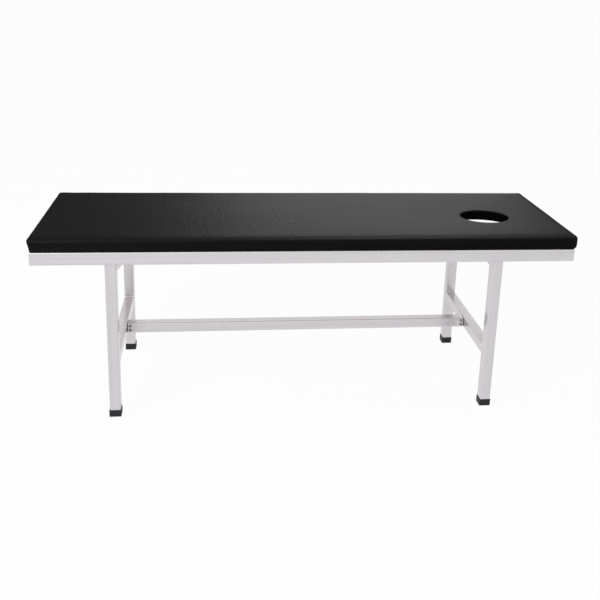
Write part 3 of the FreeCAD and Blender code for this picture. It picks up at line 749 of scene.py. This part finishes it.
def frame_welds():
    """Beads round the ends of the cross rails, and under and inside the frame's four corners."""
    mesh = ([], [])
    rail_low, rail_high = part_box("front_side_rail")
    end_low, end_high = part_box("head_end_rail")
    bevel, below_top, short_of_edge, sunk = 2 * MM, 3 * MM, 2 * MM, 0.9 * MM
    rail_bead, under_bead, corner_bead = 2.1 * MM, 1.7 * MM, 2.2 * MM
    for low, high in CROSS_RAILS:
        lip = high.z - below_top
        outline = ((low.x, lip), (low.x, low.z + bevel), (low.x + bevel, low.z),
                   (high.x - bevel, low.z), (high.x, low.z + bevel), (high.x, lip))
        for y in (low.y, high.y):
            add_bead(mesh, [Vector((x, y, z)) for x, z in outline], rail_bead, Vector((0, 1, 0)))
    below = Vector((0, 0, rail_low.z + sunk))
    above = Vector((0, 0, rail_high.z - below_top))
    for a in (-1, 1):
        for b in (-1, 1):
            inner = Vector((a * end_low.x, b * -rail_high.y, 0))
            outer = Vector((a * (end_high.x - short_of_edge), b * (-rail_low.y - short_of_edge), 0))
            across = Vector((-b, a, 0)).normalized()
            add_bead(mesh, [inner + below, outer + below], under_bead, across)
            add_bead(mesh, [inner + below, inner + above], corner_bead, across)
    return mesh


def cross_outline(arm, half_width):
    """A cross of four arms, with points along each of its twelve edges."""
    parts = 4
    quarter = [Vector((arm, -half_width)), Vector((arm, half_width)), Vector((half_width, half_width))]
    corners = []
    for turn in range(4):
        spin = Matrix.Rotation(turn * math.pi / 2, 2)
        corners += [spin @ corner for corner in quarter]
    points = []
    for start, end in zip(corners, corners[1:] + corners[:1]):
        points += [start.lerp(end, k / parts) for k in range(parts)]
    return points


def add_screw(mesh, seat, outward, spin, head, height, shank, length):
    """A round-headed screw with a cross recess; the head stands on its seat. Head and shank are radii."""
    verts, faces = mesh
    side = outward.orthogonal().normalized()
    turn = Matrix.Rotation(spin, 3, outward)
    first, second = turn @ side, turn @ outward.cross(side)
    arm, half_slot, recess_taper, recess_lip = 0.52 * head, 0.17 * head, 0.5, 0.45 * head
    edge_fall, fall_power = 0.42, 2.4
    recess_floor = 0.3 * height
    outline = cross_outline(arm, half_slot)
    circle = [point.normalized() for point in outline]

    def ring(points, level):
        start = len(verts)
        for point in points:
            verts.append(tuple(seat + first * point.x + second * point.y + outward * level))
        return list(range(start, len(verts)))

    def dome(radius):
        return height * (1 - edge_fall * (radius / head) ** fall_power)

    rings = [ring([point * recess_taper for point in outline], recess_floor), ring(outline, dome(recess_lip))]
    for share in (0.66, 0.8, 0.92, 0.985):
        rings.append(ring([point * share * head for point in circle], dome(share * head)))
    for radius, level in ((head, 0.5 * height), (head, 0.0), (shank, 0.0), (shank, -length)):
        rings.append(ring([point * radius for point in circle], level))
    count = len(outline)
    for inner, outer in zip(rings, rings[1:]):
        for k in range(count):
            following = (k + 1) % count
            faces.append((inner[k], inner[following], outer[following], outer[k]))
    for end, level in ((rings[0], recess_floor), (rings[-1], -length)):
        middle = len(verts)
        verts.append(tuple(seat + outward * level))
        for k in range(count):
            faces.append((end[k], end[(k + 1) % count], middle))


def stretcher_screws():
    mesh = ([], [])
    low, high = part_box("stretcher_screws")
    head, height, shank, length = 5.5 * MM, 3.2 * MM, 3 * MM, 11 * MM
    outward = Vector((0, -1, 0))
    spin, spin_step = 0.3, 1.1
    for x in (low.x + head, high.x - head):
        for z in (low.z + head, high.z - head):
            spin += spin_step
            seat = Vector((x, low.y + height, z))
            add_screw(mesh, seat, outward, spin, head, height, shank, length)
    return mesh


def board_screws():
    mesh = ([], [])
    low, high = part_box("board_screws")
    head, height, shank = 4 * MM, 2.6 * MM, 2 * MM
    outward = Vector((0, 0, -1))
    spin, spin_step = 0.1, 0.7
    for rail_low, rail_high in CROSS_RAILS:
        for y in (low.y + head, 0.0, high.y - head):
            spin += spin_step
            seat = Vector(((rail_low.x + rail_high.x) / 2, y, rail_low.z))
            add_screw(mesh, seat, outward, spin, head, height, shank, high.z - rail_low.z)
    return mesh


def hole_stitches():
    """Short stitches just above the seam where the cover meets the lining."""
    mesh = ([], [])
    count, radius, sides = 118, 0.34 * MM, 6
    level = SEAM_Z + 2.4 * MM
    for k in range(count):
        path = []
        for share, sink in ((0.0, 0.7), (0.15, -0.15), (0.4, -0.35), (0.65, -0.15), (0.8, 0.7)):
            path.append(Vector((*oval(2 * math.pi * (k + share) / count, sink * MM), level)))
        add_tube(mesh, path, [radius] * len(path), sides, Vector((0, 0, 1)))
    return mesh


def add_staple(mesh, centre, along):
    """A wire staple driven up through a hem; centre is on the hem's underside."""
    half, radius, sides = 5.5 * MM, 0.5 * MM, 6
    path = []
    for share, rise in ((-1, 0.9), (-1, 0.1), (-0.9, -0.25), (0.9, -0.25), (1, 0.1), (1, 0.9)):
        path.append(centre + along * share * half + Vector((0, 0, rise * MM)))
    add_tube(mesh, path, [radius] * len(path), sides, along.cross(Vector((0, 0, 1))))


def staples():
    """Staples along the cover's hem, clear of the cross rails, and round the lining's hem."""
    mesh = ([], [])
    inset, pitch, from_end = 46 * MM, 48 * MM, 20 * MM
    clear_of_rail = 26 * MM
    most_skew, skew_scale = 0.12, 40
    rails = [(low.x + high.x) / 2 for low, high in CROSS_RAILS]
    reach_x, reach_y = HALF_X - inset, HALF_Y - inset
    for x in stations((-reach_x + from_end, reach_x - from_end), (pitch,)):
        if min(abs(x - rail) for rail in rails) > clear_of_rail:
            for side in (-1, 1):
                skew = most_skew * noise.noise(Vector((x * skew_scale, side, 0.5)))
                add_staple(mesh, Vector((x, side * reach_y, PAD_BOTTOM)), Vector((1, skew, 0)).normalized())
    for y in stations((-reach_y + from_end, reach_y - from_end), (pitch,)):
        for side in (-1, 1):
            skew = most_skew * noise.noise(Vector((side, y * skew_scale, 1.5)))
            add_staple(mesh, Vector((side * reach_x, y, PAD_BOTTOM)), Vector((skew, 1, 0)).normalized())
    ring_count, ring_growth = 22, 60 * MM
    for k in range(ring_count):
        angle = 2 * math.pi * (k + 0.5) / ring_count
        x, y = oval(angle, ring_growth)
        tangent = Vector((-math.sin(angle), math.cos(angle), 0))
        add_staple(mesh, Vector((x, y, PAD_BOTTOM)), tangent)
    return mesh


def small_piece(name, mesh, material, slot, *replaced):
    piece = make_piece(name, *mesh, material)
    if replaced:
        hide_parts(*replaced)
    return piece


small_piece("crossbar_weld_beads", crossbar_welds(), WELD_METAL, "steel")
small_piece("frame_weld_beads", frame_welds(), WELD_METAL, "steel")
small_piece("hole_stitching", hole_stitches(), THREAD, "lining")
small_piece("hem_staples", staples(), ZINC, "zinc")
for screw_piece in (
    small_piece("stretcher_cross_screws", stretcher_screws(), BLACK_OXIDE, "dark_screw", "stretcher_screws"),
    small_piece("board_cross_screws", board_screws(), ZINC, "zinc", "board_screws"),
):
    screw_piece.data.shade_flat()


# Stage: pale floor, white surround, soft lamps
def seen_ray(tree):
    """1 on rays from the camera, a reflection or a clear surface, 0 on light that reaches matt surfaces."""
    path = add_node(tree, "ShaderNodeLightPath")
    seen = combine(tree, "MAXIMUM", path.outputs["Is Camera Ray"], path.outputs["Is Glossy Ray"])
    return combine(tree, "MAXIMUM", seen, path.outputs["Is Transmission Ray"])


def studio_floor():
    """A pale floor that looks nearly white and still takes a faint shadow."""
    half, white_share = 120.0, 0.95
    material, tree = new_material("studio_floor")
    share = combine(tree, "MULTIPLY", seen_ray(tree), white_share)
    paper = add_node(tree, "ShaderNodeBsdfDiffuse", {"Color": (0.86, 0.86, 0.86, 1.0)})
    white = add_node(tree, "ShaderNodeEmission", {"Color": (1.0, 1.0, 1.0, 1.0), "Strength": 1.0})
    mix = add_node(tree, "ShaderNodeMixShader", {0: share, 1: paper.outputs[0], 2: white.outputs[0]})
    add_node(tree, "ShaderNodeOutputMaterial", {"Surface": mix.outputs[0]})
    corners = [(-half, -half, 0), (half, -half, 0), (half, half, 0), (-half, half, 0)]
    mesh = bpy.data.meshes.new("studio_floor")
    mesh.from_pydata(corners, [], [(0, 1, 2, 3)])
    floor = bpy.data.objects.new("studio_floor", mesh)
    scene.collection.objects.link(floor)
    paint(floor, material)


def studio_world():
    """White where the camera and reflections look, a little lower as light on matt surfaces."""
    matt_strength = 0.62
    world = bpy.data.worlds.new("studio")
    scene.world = world
    world.use_nodes = True
    tree = world.node_tree
    tree.nodes.clear()
    strength = combine(tree, "MAXIMUM", seen_ray(tree), matt_strength)
    back = add_node(tree, "ShaderNodeBackground", {"Color": (1.0, 1.0, 1.0, 1.0), "Strength": strength})
    add_node(tree, "ShaderNodeOutputWorld", {"Surface": back.outputs[0]})


def softbox(name, at, aim, width, height, power, linked=None, state="INCLUDE"):
    """A soft rectangular lamp. It lights only its linked piece, or all but that piece if it is excluded."""
    lamp = bpy.data.lights.new(name, "AREA")
    lamp.shape = "RECTANGLE"
    lamp.size = width
    lamp.size_y = height
    lamp.energy = power
    obj = bpy.data.objects.new(name, lamp)
    scene.collection.objects.link(obj)
    obj.location = at
    obj.rotation_euler = (Vector(aim) - Vector(at)).to_track_quat("-Z", "Y").to_euler()
    if linked is not None:
        lit = bpy.data.collections.new(name + "_lit")
        lit.objects.link(linked)
        lit.collection_objects[0].light_linking.link_state = state
        obj.light_linking.receiver_collection = lit


def photo_camera():
    """The camera fitted to the photograph; its focal length and centre are in pixels of a square picture."""
    position = Vector((-0.3226, -2.9510, 1.5439))
    yaw, pitch, roll = 0.1276, -0.2716, 0.0353
    focal, centre_u, centre_v, side = 824.7, 320.0, 200.0, 600.0
    sensor = 36.0
    forward = Vector((math.sin(yaw) * math.cos(pitch), math.cos(yaw) * math.cos(pitch), math.sin(pitch)))
    right = Vector((math.cos(yaw), -math.sin(yaw), 0.0))
    up = right.cross(forward)
    right_rolled = right * math.cos(roll) + up * math.sin(roll)
    up_rolled = up * math.cos(roll) - right * math.sin(roll)
    camera = bpy.data.cameras.new("camera")
    camera.sensor_width = sensor
    camera.lens = focal / side * sensor
    camera.shift_x = (side / 2 - centre_u) / side
    camera.shift_y = (centre_v - side / 2) / side
    camera.clip_end = 400.0
    obj = bpy.data.objects.new("camera", camera)
    scene.collection.objects.link(obj)
    turn = Matrix((right_rolled, up_rolled, -forward)).transposed()
    obj.matrix_world = Matrix.Translation(position) @ turn.to_4x4()
    scene.camera = obj


studio_floor()
studio_world()
softbox("key", (-3.2, -3.2, 3.4), (-0.2, 0.0, 0.5), 2.4, 2.0, 130.0)
softbox("fill", (-1.6, -4.2, 0.8), (-0.2, 0.0, 0.4), 2.4, 1.2, 15.0, cushion, "EXCLUDE")
softbox("back", (1.1, 4.4, 2.25), (0.1, 0.0, 0.6), 2.9, 1.4, 245.0, cushion)
softbox("side", (-2.1, -2.0, 0.75), (-0.9, -0.3, 0.64), 0.9, 0.6, 85.0, cushion)
softbox("overhead", (0.66, -0.45, 2.6), (0.3, -0.3, 0.66), 1.2, 0.6, 130.0, cushion)
photo_camera()
scene.view_settings.view_transform = "Standard"
